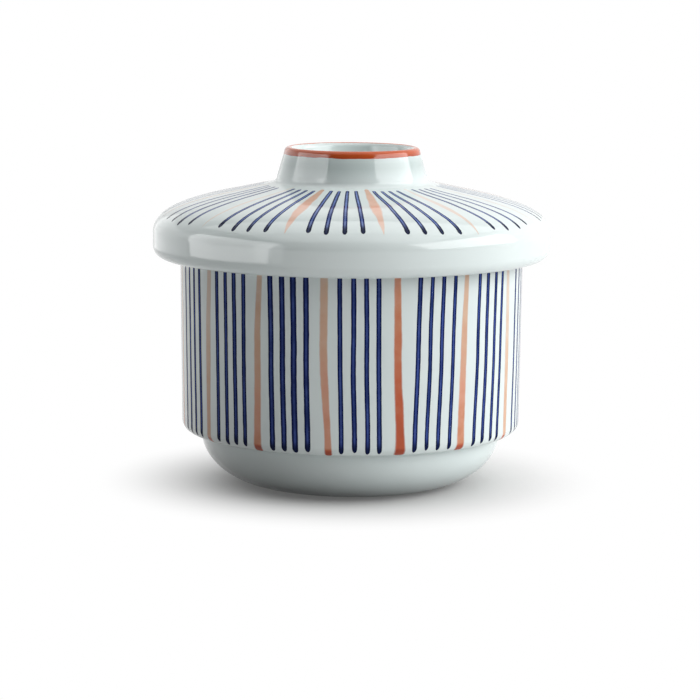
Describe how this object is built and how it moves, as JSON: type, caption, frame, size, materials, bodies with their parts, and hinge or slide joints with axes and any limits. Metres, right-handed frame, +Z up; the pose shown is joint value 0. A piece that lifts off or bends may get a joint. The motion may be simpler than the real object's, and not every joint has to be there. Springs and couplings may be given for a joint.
{
  "type": "lidded soup bowl",
  "caption": "Small glazed porcelain cup with upright striped walls, a set-back rounded base and an overlapping domed lid that lifts off by a ring grip.",
  "frame": {"origin": "middle of the foot, on the table", "axes": "+Z up along the axis that the bowl and the lid are turned about; X and Y are free"},
  "size_m": [0.092, 0.092, 0.078],
  "materials": {
    "bowl_porcelain": "gloss",
    "lid_porcelain": "gloss"
  },
  "bodies": {
    "bowl": {"bowl": "bowl_porcelain"},
    "lid": {"lid": "lid_porcelain"}
  },
  "joints": [
    {"name": "lid_lift", "type": "slide", "parent": "bowl", "child": "lid", "axis": [0, 0, 1], "range_m": [0, 0.08]}
  ]
}
